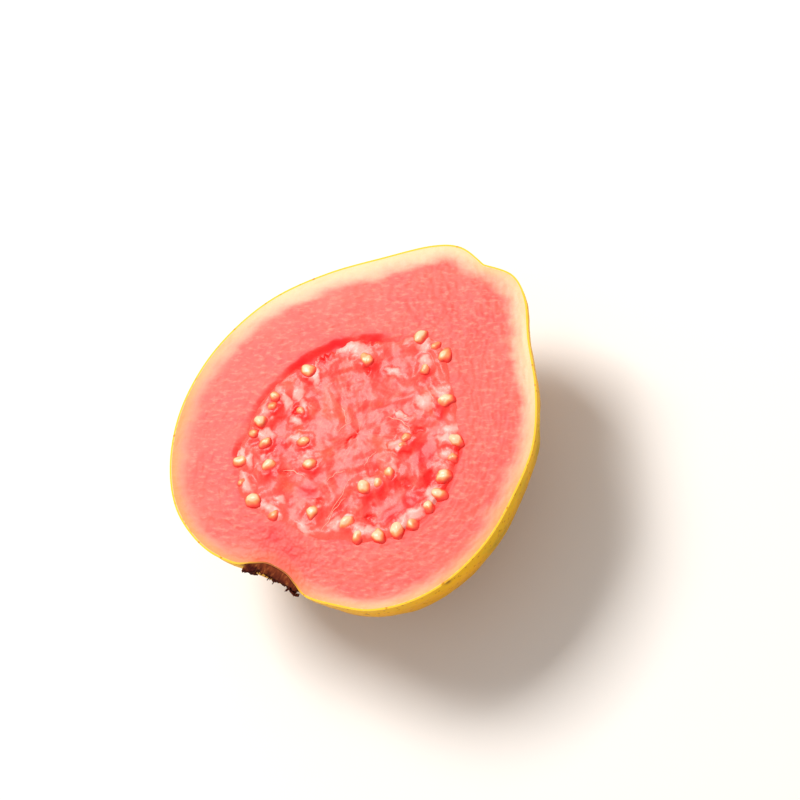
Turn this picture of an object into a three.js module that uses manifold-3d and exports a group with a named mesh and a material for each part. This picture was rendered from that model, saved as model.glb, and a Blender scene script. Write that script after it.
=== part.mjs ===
// Half of a ripe pink guava, cut lengthwise through the blossom end and the stem end.
// It lies on its skin with the cut face level and up. Millimetres, +Z up, +Y towards the stem end.
import * as THREE from "three";
import { ParametricGeometry } from "three/addons/geometries/ParametricGeometry.js";
import { mergeVertices } from "three/addons/utils/BufferGeometryUtils.js";
import Module from "manifold-3d";

const wasm = await Module();
wasm.setup();

// Driving dimensions of the fruit.
const DEPTH_SHARE = 0.98; // the skin's depth under the cut face, as a share of the half width there
const FLAT_DEPTH = 0.85; // how much of the belly the resting spot takes off
const SWELL = 0.35; // height of the skin's low, uneven swells
const RIB_HEIGHT = 0.55; // height of the ribs that gather at the blossom end
const RIB_COUNT = 9;
const RIB_REACH = 0.3; // how far the ribs run towards the stem end, as a share of the way
const LIP_FALL = 1.6; // how much less the skin bulges below the blossom pit than beside it
const SKIN_STEPS_ALONG = 54;
const SKIN_STEPS_AROUND = 52;
const ROOM = 60; // half the side of the boxes that cut the fruit

// The cut face's edge, as pairs of points on the left and on the right flank, from the blossom pit to the stem pit.
const FLANKS = [
  { left: [0, -34.3], right: [0, -34.3] },
  { left: [-2.6, -34.7], right: [2.3, -34.4] },
  { left: [-5.2, -36.2], right: [4.7, -35.1] },
  { left: [-8.6, -38.1], right: [8.0, -35.9] },
  { left: [-16.0, -38.5], right: [13.6, -34.4] },
  { left: [-24.5, -35.4], right: [20.2, -31.6] },
  { left: [-31.2, -28.8], right: [26.0, -26.0] },
  { left: [-35.9, -19.5], right: [29.9, -18.6] },
  { left: [-37.6, -9.0], right: [31.8, -9.0] },
  { left: [-36.5, 1.0], right: [31.1, 1.0] },
  { left: [-33.0, 10.5], right: [28.9, 10.5] },
  { left: [-26.5, 19.6], right: [23.5, 19.6] },
  { left: [-18.6, 27.6], right: [16.4, 27.6] },
  { left: [-11.4, 34.3], right: [11.3, 34.0] },
  { left: [-6.0, 36.9], right: [6.2, 37.0] },
  { left: [0, 36.1], right: [0, 36.1] },
];

// The seed pulp: the middle it spreads from, and its edge, from the right and anticlockwise.
const PULP_MIDDLE = [-1.8, -4.6];
const PULP_EDGE = [
  [20.2, -4.6],
  [16.9, 5.2],
  [9.0, 14.1],
  [0.6, 19.8],
  [-6.6, 16.2],
  [-15.2, 10.7],
  [-20.6, 3.6],
  [-23.3, -5.3],
  [-23.3, -14.7],
  [-20.8, -22.0],
  [-14.3, -28.2],
  [-5.2, -28.0],
  [5.4, -26.2],
  [14.4, -20.6],
  [19.4, -13.2],
];
const PULP_STEPS_AROUND = 75;
const PULP_ROWS = 13;
const HOLLOW_DEPTH = 1.4; // depth of the hollow in the flesh that the pulp fills
const PULP_SINK = 0.35; // how far the pulp's face lies under the cut face
const PULP_DOME = 0.4; // how much the pulp rises again towards its middle
const EDGE_FALL = 1.4; // how much the pulp's face falls off at its edge, to under the hollow's floor
const PULP_ROOT = 7; // how deep the pulp reaches into the flesh
const LUMP_HEIGHT = 0.38; // height of the wet lumps in the pulp
const GAP_SHARE = 0.015; // width of the gap round the pulp, as a share of the way from its middle
// Where the pulp has shrunk further from the flesh: direction and spread in degrees, and the extra gap.
const WIDE_GAPS = [
  { toward: 148, spread: 17, extra: 0.075 },
  { toward: 115, spread: 9, extra: 0.05 },
  { toward: 205, spread: 14, extra: 0.02 },
  { toward: 30, spread: 14, extra: 0.02 },
  { toward: -10, spread: 12, extra: 0.03 },
];

// The seeds, in rows round the pulp's middle: from and to in degrees, and the row's share of the way to the edge.
const SEED_ROWS = [
  { from: 306, to: 385, count: 9, share: 0.92 },
  { from: 51, to: 51, count: 1, share: 0.86 },
  { from: 74, to: 92, count: 3, share: 0.93 },
  { from: 160, to: 160, count: 1, share: 0.85 },
  { from: 186, to: 209, count: 4, share: 0.86 },
  { from: 224, to: 256, count: 4, share: 0.92 },
  { from: 275, to: 297, count: 2, share: 0.78 },
  { from: 217, to: 229, count: 2, share: 0.72 },
  { from: 78, to: 119, count: 2, share: 0.73 },
  { from: 189, to: 189, count: 1, share: 0.58 },
  { from: 311, to: 341, count: 3, share: 0.48 },
  { from: 377, to: 386, count: 2, share: 0.46 },
  { from: 218, to: 243, count: 2, share: 0.41 },
];
const SEED_LENGTH = 3.1;
const SEED_WIDTH = 2.4;
const SEED_THICKNESS = 2.2;
const SEED_SINK = 0.4; // how far a seed's middle lies under the cut face
const SEED_TURN = 40; // the most that a seed turns away from the pulp's middle, in degrees
const SEED_DRAW = 20; // where the random draw starts

// The dried calyx in the pit at the blossom end.
const CALYX_REACH = 0.155; // how far up the pit's wall it reaches, as a share of the way to the stem end
const CALYX_CLEARANCE = 0.3;
const CALYX_THICKNESS = 1.6;
const CALYX_EDGE = 0.5; // thickness at its rim between the lobes
const LOBE_HEIGHT = 0.9;
const LOBE_COUNT = 5;
const CALYX_STEPS = 9;

const FULL_TURN = 2 * Math.PI;

// A spline through the points, which it passes in equal steps.
const splineThrough = (points) => new THREE.SplineCurve(points.map(([x, y]) => new THREE.Vector2(x, y)));
const leftFlank = splineThrough(FLANKS.map((pair) => pair.left));
const rightFlank = splineThrough(FLANKS.map((pair) => pair.right));

// The closed spline round the pulp.
const pulpEdge = new THREE.CatmullRomCurve3(
  PULP_EDGE.map(([x, y]) => new THREE.Vector3(x, y, 0)),
  true,
  "catmullrom",
  0.5,
);

// A number from 0 to 1 that eases from 0 at the low end to 1 at the high end.
const ease = THREE.MathUtils.smoothstep;

// Draws from 0 to 1, the same on every run.
function randomDraw(seed) {
  const size = 2 ** 32;
  let state = seed;
  return () => {
    state = (state * 1664525 + 1013904223) % size;
    return state / size;
  };
}

// A closed geometry as a solid: welds its vertices and drops the triangles that collapse at its poles.
function solidFrom(geometry) {
  geometry.deleteAttribute("normal");
  geometry.deleteAttribute("uv");
  const welded = mergeVertices(geometry, 1e-4);
  const corners = welded.index.array;
  const kept = [];
  for (let i = 0; i < corners.length; i += 3) {
    const [a, b, c] = [corners[i], corners[i + 1], corners[i + 2]];
    if (a !== b && b !== c && c !== a) kept.push(a, b, c);
  }
  const mesh = new wasm.Mesh({
    numProp: 3,
    vertProperties: welded.attributes.position.array,
    triVerts: new Uint32Array(kept),
  });
  return new wasm.Manifold(mesh);
}

// A box of the given heights that is wide enough to cut the whole fruit.
function slab(low, high) {
  const box = new THREE.BoxGeometry(2 * ROOM, 2 * ROOM, high - low);
  box.translate(0, 0, (low + high) / 2);
  return solidFrom(box);
}

// A point of the whole fruit's skin. Each pair of flank points carries a ring, level with the cut face at its ends.
function skinPoint(around, along, target) {
  const left = leftFlank.getPoint(along);
  const right = rightFlank.getPoint(along);
  const half = right.clone().sub(left).multiplyScalar(0.5);
  const middle = right.clone().sub(half);
  const turn = around * FULL_TURN;
  const across = Math.cos(turn);
  const down = Math.sin(turn);
  const away = Math.min(half.length() / 8, 1); // no swell or rib at the ends' middles
  const swell = SWELL * Math.sin(3 * turn + 7 * along) * Math.sin(11 * along + 2 * across);
  const rib = RIB_HEIGHT * Math.cos(RIB_COUNT * turn) * (1 - ease(along, 0.08, RIB_REACH));
  const raised = (swell + rib) * away * down * down;
  const lip = LIP_FALL * ease(along, 0.03, 0.12) * (1 - ease(along, 0.25, 0.6)) * down * down;
  const radius = half.length() * DEPTH_SHARE + raised;
  const stretch = 1 + raised / Math.max(half.length(), 1);
  target.set(
    middle.x + half.x * across * stretch,
    middle.y + half.y * across * stretch + lip,
    -radius * down,
  );
}

// A solid whose edge follows the pulp's: the profile runs from the middle of its floor, out, up and back in.
function pulpShape(profile, shift = () => ({ share: 0, height: 0 })) {
  const steps = profile.length - 1;
  const geometry = new ParametricGeometry(
    (u, v, target) => {
      const row = profile[Math.round(v * steps)];
      const edge = pulpEdge.getPoint(u % 1);
      const moved = shift(row, edge);
      const share = row.share * (1 + moved.share);
      const x = THREE.MathUtils.lerp(PULP_MIDDLE[0], edge.x, share);
      const y = THREE.MathUtils.lerp(PULP_MIDDLE[1], edge.y, share);
      target.set(x, y, row.height + (row.face ? lump(x, y) * moved.height : 0));
    },
    PULP_STEPS_AROUND,
    steps,
  );
  return solidFrom(geometry);
}

// The uneven lumps of the pulp's face, from -1 to 1.
function lump(x, y) {
  const warpX = x + 1.6 * Math.sin(0.45 * y + 1.0);
  const warpY = y + 1.6 * Math.sin(0.4 * x + 2.0);
  return 0.6 * Math.sin(1.15 * warpX) * Math.sin(1.05 * warpY) + 0.4 * Math.sin(0.62 * warpX - 0.8 * warpY);
}

// How much wider the gap round the pulp is in the direction of a point of its edge.
function extraGap(edge) {
  const direction = THREE.MathUtils.radToDeg(Math.atan2(edge.y - PULP_MIDDLE[1], edge.x - PULP_MIDDLE[0]));
  return WIDE_GAPS.reduce((sum, gap) => {
    const off = THREE.MathUtils.euclideanModulo(direction - gap.toward + 180, 360) - 180;
    return sum + gap.extra * Math.exp(-((off / gap.spread) ** 2));
  }, 0);
}

// The hollow that the pulp fills, which is cut out of the flesh.
function pulpHollow() {
  return pulpShape([
    { share: 0, height: -HOLLOW_DEPTH },
    { share: 0.9, height: -HOLLOW_DEPTH },
    { share: 0.975, height: -HOLLOW_DEPTH * 0.8 },
    { share: 1, height: 0 },
    { share: 1, height: HOLLOW_DEPTH },
    { share: 0, height: HOLLOW_DEPTH },
  ]);
}

// The pulp itself: rooted deep in the flesh, with a lumpy, slightly domed face.
function pulpBody() {
  const root = [
    { share: 0, height: -PULP_ROOT },
    { share: 0.6, height: -PULP_ROOT },
    { share: 0.88, height: -PULP_ROOT / 2 },
  ];
  const face = Array.from({ length: PULP_ROWS + 1 }, (_, row) => {
    const share = (1 - GAP_SHARE) * (1 - row / PULP_ROWS) ** 0.8;
    const inward = 1 - share / (1 - GAP_SHARE);
    return {
      share,
      height: -PULP_SINK - EDGE_FALL * (1 - ease(inward, 0, 0.065)) + PULP_DOME * ease(inward, 0.05, 0.8),
      face: true,
    };
  });
  return pulpShape([...root, ...face], (row, edge) => ({
    share: -extraGap(edge) * row.share,
    height: row.face ? LUMP_HEIGHT * ease(1 - row.share, 0.05, 0.2) : 0,
  }));
}

// One seed: a blunt grain that lies along the line to the pulp's middle, more or less.
function seed(direction, share, size, turn) {
  const edgeAt = edgeToward(direction);
  const grain = new THREE.IcosahedronGeometry(0.5, 1);
  grain.scale(SEED_LENGTH * size, SEED_WIDTH * size, SEED_THICKNESS * size);
  grain.rotateZ(THREE.MathUtils.degToRad(direction + turn));
  grain.translate(
    THREE.MathUtils.lerp(PULP_MIDDLE[0], edgeAt.x, share),
    THREE.MathUtils.lerp(PULP_MIDDLE[1], edgeAt.y, share),
    -SEED_SINK,
  );
  return solidFrom(grain);
}

// The point of the pulp's edge that lies in a direction from its middle, in degrees.
function edgeToward(direction) {
  const middle = new THREE.Vector3(...PULP_MIDDLE, 0);
  const aim = new THREE.Vector3(1, 0, 0).applyAxisAngle(
    new THREE.Vector3(0, 0, 1),
    THREE.MathUtils.degToRad(direction),
  );
  return pulpEdge.getPoints(360).reduce((best, point) => {
    const off = point.clone().sub(middle).angleTo(aim);
    return off < best.off ? { off, point } : best;
  }, { off: Math.PI }).point;
}

// Every seed of every row, with a seeded draw for its place, size and turn.
function seeds() {
  const draw = randomDraw(SEED_DRAW);
  const spread = (amount) => amount * (2 * draw() - 1);
  return SEED_ROWS.flatMap((row) =>
    Array.from({ length: row.count }, (_, i) => {
      const step = row.count > 1 ? i / (row.count - 1) : 0;
      const direction = THREE.MathUtils.lerp(row.from, row.to, step) + spread(1.5);
      return seed(direction, row.share + spread(0.025), 1 + spread(0.18), spread(SEED_TURN));
    }),
  );
}

// The flesh with its skin, the pulp and the seeds, which grew as one piece.
function guavaHalf() {
  const whole = solidFrom(new ParametricGeometry(skinPoint, SKIN_STEPS_AROUND, SKIN_STEPS_ALONG));
  const belly = whole.boundingBox().min[2];
  const flesh = whole.subtract(slab(0, ROOM)).subtract(slab(-ROOM, belly + FLAT_DEPTH)).subtract(pulpHollow());
  return wasm.Manifold.union([flesh, pulpBody(), ...seeds()]);
}

// The dried calyx: a crust that lines the blossom pit, with the stubs of its lobes, cut in half with the fruit.
function calyxHalf() {
  const skin = new THREE.Vector3();
  const crust = new ParametricGeometry(
    (u, v, target) => {
      const outer = v < 0.5;
      const share = outer ? 2 * v : 2 * (1 - v);
      skinPoint(u, share * CALYX_REACH, skin);
      const lobe = LOBE_HEIGHT * Math.max(0, Math.cos(LOBE_COUNT * (u * FULL_TURN - 0.5))) * ease(share, 0.45, 0.85);
      const floor = THREE.MathUtils.lerp(CALYX_THICKNESS, CALYX_EDGE, ease(share, 0.2, 1));
      const lift = CALYX_CLEARANCE + (outer ? floor + lobe : 0);
      target.set(skin.x, skin.y - lift, skin.z);
    },
    40,
    2 * CALYX_STEPS,
  );
  const solid = solidFrom(crust);
  return solid.subtract(slab(0, ROOM));
}

// A named mesh of a solid, in its own plain material.
function meshOf(name, solid, color, roughness) {
  const { vertProperties, triVerts } = solid.getMesh();
  const geometry = new THREE.BufferGeometry();
  geometry.setAttribute("position", new THREE.BufferAttribute(vertProperties, 3));
  geometry.setIndex(new THREE.BufferAttribute(triVerts, 1));
  geometry.computeVertexNormals();
  const material = new THREE.MeshStandardMaterial({ color, roughness, metalness: 0 });
  const mesh = new THREE.Mesh(geometry, material);
  mesh.name = name;
  return mesh;
}

// The origin is under the middle of the half, on the surface that it rests on.
const half = new THREE.Group();
half.add(meshOf("guava_half", guavaHalf(), "#f8756c", 0.35));
half.add(meshOf("calyx", calyxHalf(), "#4a2716", 0.9));
const bounds = new THREE.Box3().setFromObject(half);
const middle = bounds.getCenter(new THREE.Vector3());
half.position.set(-middle.x, -middle.y, -bounds.min.z);

const guava = new THREE.Group();
guava.add(half);

export default guava;
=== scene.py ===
"""Half of a ripe pink guava: its finished surfaces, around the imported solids. Lengths are in mm."""
import math

import bmesh
import bpy
import numpy as np
from mathutils import Matrix, Vector, noise


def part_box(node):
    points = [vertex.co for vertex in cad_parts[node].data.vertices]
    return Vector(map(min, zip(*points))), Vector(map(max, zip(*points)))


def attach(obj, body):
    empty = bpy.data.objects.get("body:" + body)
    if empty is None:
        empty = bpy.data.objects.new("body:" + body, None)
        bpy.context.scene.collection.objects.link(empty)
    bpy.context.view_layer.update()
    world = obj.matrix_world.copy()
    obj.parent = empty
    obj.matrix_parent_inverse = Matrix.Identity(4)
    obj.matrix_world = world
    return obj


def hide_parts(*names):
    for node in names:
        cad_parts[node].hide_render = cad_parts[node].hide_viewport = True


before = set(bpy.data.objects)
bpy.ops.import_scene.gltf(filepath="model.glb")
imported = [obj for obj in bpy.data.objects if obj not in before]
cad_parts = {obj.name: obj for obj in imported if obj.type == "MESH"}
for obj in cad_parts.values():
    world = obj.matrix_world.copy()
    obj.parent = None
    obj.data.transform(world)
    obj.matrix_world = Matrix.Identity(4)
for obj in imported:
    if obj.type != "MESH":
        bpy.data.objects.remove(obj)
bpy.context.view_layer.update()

# The camera. It looks down on the level cut face from the right flank's side, and is rolled
# so that the stem end points up and to the right.
MM = 0.001
VIEW_CENTRE = (4.3, 5.9, 33.1)
VIEW_DISTANCE = 421.8
VIEW_AZIMUTH = -19.5
VIEW_ELEVATION = 65.0
VIEW_ROLL = -38.1
LENS = 100

turned = (
    Matrix.Rotation(math.radians(VIEW_AZIMUTH + 90), 4, "Z")
    @ Matrix.Rotation(math.radians(90 - VIEW_ELEVATION), 4, "X")
    @ Matrix.Rotation(math.radians(VIEW_ROLL), 4, "Z")
)
camera = bpy.data.objects.new("camera", bpy.data.cameras.new("camera"))
camera.data.lens = LENS
camera.data.clip_start = 0.01
centre = Matrix.Translation(Vector(VIEW_CENTRE) * MM)
camera.matrix_world = centre @ turned @ Matrix.Translation((0, 0, VIEW_DISTANCE * MM))
bpy.context.scene.collection.objects.link(camera)
bpy.context.scene.camera = camera
bpy.context.scene.view_settings.view_transform = "Standard"

# The skin: a thin, waxy rind round the flesh, golden yellow with greener patches, tiny pale pores
# and low swells. It is a bowl as thick as the rind, whose rim ends in the cut.
SKIN_THICKNESS = 0.34
DEPTH_SHARE = 0.98  # the bowl's depth, as a share of its half width
FLAT_DEPTH = 0.85  # how much the half has settled on its resting spot
SWELL = 0.35
RIB_HEIGHT = 0.55
RIB_COUNT = 9
RIB_START = 0.08
RIB_END = 0.3
LIP_FALL = 1.6  # how much less the skin bulges below the blossom pit than beside it
BLOSSOM_PIT = Vector((0, -35, 0))
SCAR = Vector((29.6, -19.4, -0.6))
SCAR_REACH = 0.65
PIT_REACH = 6.5
DENT_START = 2.5  # how far below the cut the dents have their full height
SHARP_ANGLE = math.radians(50)
PAINTED_LIGHT_DEPTH = 4.5  # how far below the cut the rind is painted lighter, as painted light
SHADE_START = 2  # and between which depths it is painted darker and duller, as painted shade
SHADE_END = 12
EDGE_DEPTH = 0.7
SKIN_COLUMNS = 170
SKIN_ROWS = 260
DENT_HEIGHT = 0.22
DENT_SPACING = 5.5
PORE_SPACING = 1.3
LEFT_FLANK = (
    (0, -34.3), (-2.6, -34.7), (-5.2, -36.2), (-8.6, -38.1), (-16.0, -38.5), (-24.5, -35.4), (-31.2, -28.8),
    (-35.9, -19.5), (-37.6, -9.0), (-36.5, 1.0), (-33.0, 10.5), (-26.5, 19.6), (-18.6, 27.6), (-11.4, 34.3),
    (-6.0, 36.9), (0, 36.1),
)
RIGHT_FLANK = (
    (0, -34.3), (2.3, -34.4), (4.7, -35.1), (8.0, -35.9), (13.6, -34.4), (20.2, -31.6), (26.0, -26.0),
    (29.9, -18.6), (31.8, -9.0), (31.1, 1.0), (28.9, 10.5), (23.5, 19.6), (16.4, 27.6), (11.3, 34.0),
    (6.2, 37.0), (0, 36.1),
)


def ease(low, high, value):
    """From 0 at the low end to 1 at the high end, gently."""
    share = min(max((value - low) / (high - low), 0), 1)
    return share * share * (3 - 2 * share)


def between(before, start, end, after, share):
    """A point of the smooth curve that runs from start to end."""
    leave = (end - before) / 2
    arrive = (after - start) / 2
    cubic = start * 2 - end * 2 + leave + arrive
    square = end * 3 - start * 3 - leave * 2 - arrive
    return cubic * share**3 + square * share**2 + leave * share + start


def flank_point(flank, along):
    """A point of a flank, from the blossom pit at 0 to the stem pit at 1."""
    last = len(flank) - 1
    place = along * last
    at = min(int(place), last - 1)
    near = [Vector(flank[min(max(at + step, 0), last)]) for step in (-1, 0, 1, 2)]
    return between(*near, place - at)


def skin_point(around, along):
    """A point of the skin: around goes from the right flank at 0, under the belly, to the left at 0.5."""
    left = flank_point(LEFT_FLANK, along)
    right = flank_point(RIGHT_FLANK, along)
    half = (right - left) / 2
    middle = (right + left) / 2
    turn = around * math.tau
    across = math.cos(turn)
    down = math.sin(turn)
    swell = SWELL * math.sin(3 * turn + 7 * along) * math.sin(11 * along + 2 * across)
    rib = RIB_HEIGHT * math.cos(RIB_COUNT * turn) * (1 - ease(RIB_START, RIB_END, along))
    raised = (swell + rib) * min(half.length / 8, 1) * down * down
    lip = LIP_FALL * ease(0.03, 0.12, along) * (1 - ease(0.25, 0.6, along)) * down * down
    flat = middle + half * across * (1 + raised / max(half.length, 1))
    return Vector((flat.x, flat.y + lip, -(half.length * DEPTH_SHARE + raised) * down))


def linear(colour):
    """An sRGB hex colour in linear light."""
    channels = [int(colour[at : at + 2], 16) / 255 for at in (1, 3, 5)]
    return [c / 12.92 if c < 0.04045 else ((c + 0.055) / 1.055) ** 2.4 for c in channels] + [1]


def start_material(name):
    """A material with an empty node tree."""
    material = bpy.data.materials.new(name)
    material.use_nodes = True
    material.node_tree.nodes.clear()
    return material


def add(material, kind, settings, links=()):
    """Adds a node with its settings and links, and returns its outputs."""
    tree = material.node_tree
    node = tree.nodes.new(kind)
    for name, value in settings.items():
        if name == "stops":
            elements = node.color_ramp.elements
            elements[0].position = value[0][0]
            elements[0].color = linear(value[0][1])
            elements[1].position = value[-1][0]
            elements[1].color = linear(value[-1][1])
            for place, colour in value[1:-1]:
                elements.new(place).color = linear(colour)
        elif isinstance(name, int) or name in node.inputs:
            node.inputs[name].default_value = value
        else:
            setattr(node, name, value)
    for name, source in dict(links).items():
        tree.links.new(source, node.inputs[name])
    return node.outputs


def object_place(material):
    """Where a spot lies on the object."""
    return add(material, "ShaderNodeTexCoord", {})["Object"]


def layer(material, name):
    """A value that the mesh holds at each vertex."""
    return add(material, "ShaderNodeAttribute", {"attribute_name": name})["Fac"]


def blotches(material, place, size, detail, roughness=0.5):
    """Soft noise whose blotches are about that many mm across."""
    settings = {"Scale": 1 / (size * MM), "Detail": detail, "Roughness": roughness}
    return add(material, "ShaderNodeTexNoise", settings, {"Vector": place})["Fac"]


def rescale(material, value, low, high, least=0, most=1):
    """Stretches a value from low..high to least..most, and holds it there."""
    settings = {"From Min": low, "From Max": high, "To Min": least, "To Max": most}
    return add(material, "ShaderNodeMapRange", settings, {"Value": value})["Result"]


def bump(material, height, strength, depth, invert=False):
    """Slopes for the light from a pattern's heights, up to a depth in mm."""
    settings = {"Strength": strength, "Distance": depth * MM, "invert": invert}
    return add(material, "ShaderNodeBump", settings, {"Height": height})["Normal"]


def ramp(material, value, stops):
    """Colours for a value, from places and sRGB colours."""
    return add(material, "ShaderNodeValToRGB", {"stops": stops}, {"Fac": value})["Color"]


def tint(material, colour, amount, under):
    """Lays an sRGB colour over another by an amount."""
    settings = {"Color2": linear(colour)}
    return add(material, "ShaderNodeMixRGB", settings, {"Fac": amount, "Color1": under})["Color"]


def finish_piece(name, bm, material, node):
    """Makes an object of a mesh in the fruit's own mm, with its place in the mesh."""
    for vertex in bm.verts:
        vertex.co = (vertex.co + TO_PART) * MM
    mesh = bpy.data.meshes.new(name)
    bm.to_mesh(mesh)
    bm.free()
    mesh.materials.append(material)
    mesh.shade_smooth()
    mesh.set_sharp_from_angle(angle=SHARP_ANGLE)
    piece = bpy.data.objects.new(name, mesh)
    bpy.context.scene.collection.objects.link(piece)
    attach(piece, "root")
    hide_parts(node)


skin_bm = bmesh.new()
pit = skin_bm.verts.layers.float.new("pit")
scar = skin_bm.verts.layers.float.new("scar")
bmesh.ops.create_grid(skin_bm, x_segments=SKIN_COLUMNS, y_segments=SKIN_ROWS, size=0.5)
for vertex in skin_bm.verts:
    vertex.co = skin_point((vertex.co.x + 0.5) / 2, vertex.co.y + 0.5)
BELLY = min(vertex.co.z for vertex in skin_bm.verts) + FLAT_DEPTH
own_low = Vector([min(vertex.co[axis] for vertex in skin_bm.verts) for axis in range(3)])
part_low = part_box("guava_half")[0] / MM
TO_PART = Vector((part_low.x - own_low.x, part_low.y - own_low.y, -BELLY))
bmesh.ops.remove_doubles(skin_bm, verts=skin_bm.verts, dist=0.001)
bmesh.ops.recalc_face_normals(skin_bm, faces=skin_bm.faces)
skin_bm.normal_update()
for vertex in skin_bm.verts:
    below = ease(0, DENT_START, -vertex.co.z)
    dent = noise.noise(vertex.co / DENT_SPACING) + 0.4 * noise.noise(vertex.co / (0.35 * DENT_SPACING))
    vertex.co += vertex.normal * DENT_HEIGHT * dent * below
    vertex.co.z = max(vertex.co.z, BELLY)
    vertex[pit] = math.exp(-(((vertex.co - BLOSSOM_PIT).length / PIT_REACH) ** 4))
    vertex[scar] = math.exp(-(((vertex.co - SCAR).length / SCAR_REACH) ** 2))
bmesh.ops.solidify(skin_bm, geom=skin_bm.faces[:], thickness=SKIN_THICKNESS)

# Waxy guava rind: satin, IOR 1.45, with pores too small to feel. Pores are drawn a little coarse to show.
rind = start_material("waxy_guava_rind")
place = object_place(rind)
patches = blotches(rind, place, 22, 5, roughness=0.6)
ground = ramp(rind, patches, [
    (0.30, "#B4A000"), (0.42, "#EEAE00"), (0.52, "#FFB400"), (0.62, "#FFBC00"), (0.74, "#F6A800"),
])
height = add(rind, "ShaderNodeSeparateXYZ", {}, {"Vector": place})["Z"]
# Painted light: the rind is painted lighter near the cut, as if lit through the flesh.
painted_light_near_cut = rescale(rind, height, (TO_PART.z - PAINTED_LIGHT_DEPTH) * MM, TO_PART.z * MM, 0, 0.8)
# Painted shade: the rind is painted darker and duller lower down.
painted_shade_below = rescale(rind, height, (TO_PART.z - SHADE_END) * MM, (TO_PART.z - SHADE_START) * MM, 0.6, 0.0)
painted_shade_rind = tint(rind, "#A06A00", painted_shade_below, ground)
painted_light_rind = tint(rind, "#FFC400", painted_light_near_cut, painted_shade_rind)
edge = rescale(rind, height, (TO_PART.z - EDGE_DEPTH) * MM, (TO_PART.z - 0.1) * MM, 0, 0.6)
edged = tint(rind, "#FFC43C", edge, painted_light_rind)
pores = add(rind, "ShaderNodeTexVoronoi", {"Scale": 1 / (PORE_SPACING * MM)}, {"Vector": place})
pore = rescale(rind, pores["Distance"], 0.10, 0.26, 1.0, 0.0)
pored = tint(rind, "#CC8400", pore, edged)
specks = blotches(rind, place, 1.6, 3)
speck = rescale(rind, specks, 0.66, 0.74)
specked = tint(rind, "#94580F", speck, pored)
pits = layer(rind, "pit")
pitted = tint(rind, "#AC5A24", pits, specked)
scars = layer(rind, "scar")
scarred = tint(rind, "#8A4C08", scars, pitted)
relief = bump(rind, pore, 0.35, 0.15, invert=True)
surface = add(rind, "ShaderNodeBsdfPrincipled", {
    "Roughness": 0.5, "IOR": 1.45, "Specular IOR Level": 0.12,
}, {"Base Color": scarred, "Normal": relief})
add(rind, "ShaderNodeOutputMaterial", {}, {"Surface": surface["BSDF"]})
finish_piece("skin", skin_bm, rind, "guava_half")

# The flesh: firm, fine-grained and moist, cut level. It is cream under the skin, peach and then coral
# pink inwards, and has a shallow hollow where the seed pulp sits.
PULP_MIDDLE = Vector((-1.8, -4.6))
PULP_EDGE = (
    (20.2, -4.6), (16.9, 5.2), (9.0, 14.1), (0.6, 19.8), (-6.6, 16.2), (-15.2, 10.7), (-20.6, 3.6),
    (-23.3, -5.3), (-23.3, -14.7), (-20.8, -22.0), (-14.3, -28.2), (-5.2, -28.0), (5.4, -26.2),
    (14.4, -20.6), (19.4, -13.2),
)
HOLLOW_DEPTH = 1.4
WALL_START = 0.92  # where the hollow's wall begins to rise, as a share of the way to the pulp's edge
SLOPE_START = 0.65  # where it begins to rise if the pulp is still one with the flesh
FLESH_MIDDLE = Vector((-2.8, -0.8, 0))
FLESH_SHARE = 0.9915  # the flesh's size, as a share of the skin's
FACE_COLUMNS = 520
FLOOR_ROWS = 3
WALL_ROWS = 24
FACE_ROWS = 72
MERGE_DISTANCE = 0.002
UNDER_COLUMNS = 28
GRAIN_HEIGHT = 0.06
WAVE_HEIGHT = 0.12
LEVEL_EDGE = 1.2  # how far from the rim the grain has its full height
TAN_REACH = 7.5  # how far round the blossom pit the flesh is tan, and how deep
TAN_DEPTH = 3.4
# How wide the pale band under the skin is, in directions round the pulp's middle, in degrees.
PALE_BAND = (
    (14, 2.4), (45, 2.35), (66, 3.4), (76, 3.2), (86, 2.3), (95, 2.9), (105, 3.4), (135, 3.1),
    (162, 2.8), (211, 2.7), (250, 2.2), (272, 1.7), (318, 1.8), (350, 2.1),
)
# How peach and golden that band is, not cream, in the same directions.
BAND_WARMTH = (
    (2, 0.85), (28, 0.35), (46, 0.05), (73, 0.1), (85, 0.45), (95, 0.1), (104, 0), (152, 0),
    (176, 0.45), (200, 0.9), (235, 1), (262, 0.9), (297, 0.6), (314, 0.5), (340, 0.85),
)
# Spots of the flesh beside the pulp that its juice has reached too: their middles and reach.
BLUSHES = ((Vector((-4.6, -29.8, 0)), 3.6), (Vector((0.6, -30.6, 0)), 3.4))
# Where the pulp has come away from the flesh, and how far open that is: towards, spread, openness.
OPEN_EDGES = (
    (160, 11, 0.9), (139, 9, 1.0), (118, 9, 0.8), (188, 16, 0.45), (218, 5, 0.55), (22, 9, 0.5),
    (0, 14, 0.5), (-26, 16, 0.45),
)
EDGE_STEPS = 720


def openness(direction):
    """How far the pulp's edge has come away in a direction in degrees, from 0 to 1."""
    total = 0
    for toward, width, amount in OPEN_EDGES:
        off = (direction - toward + 180) % 360 - 180
        total += amount * math.exp(-((off / width) ** 2))
    return min(total, 1)


def whole(direction):
    """How far the pulp is still one with the flesh in a direction in degrees, from 0 to 1."""
    return 1 - min(1.6 * openness(direction), 1)


def pulp_edge_point(share):
    """A point of the closed curve round the pulp."""
    count = len(PULP_EDGE)
    place = share * count
    at = int(place)
    near = [Vector(PULP_EDGE[(at + step) % count]) for step in (-1, 0, 1, 2)]
    return between(*near, place - at)


edge_points = [pulp_edge_point(step / EDGE_STEPS) - PULP_MIDDLE for step in range(EDGE_STEPS)]
edge_directions = [math.degrees(math.atan2(point.y, point.x)) for point in edge_points]
edge_lengths = [point.length for point in edge_points]


def pulp_reach(direction):
    """How far the pulp's edge is from its middle, in a direction in degrees."""
    return float(np.interp(direction, edge_directions, edge_lengths, period=360))


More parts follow.
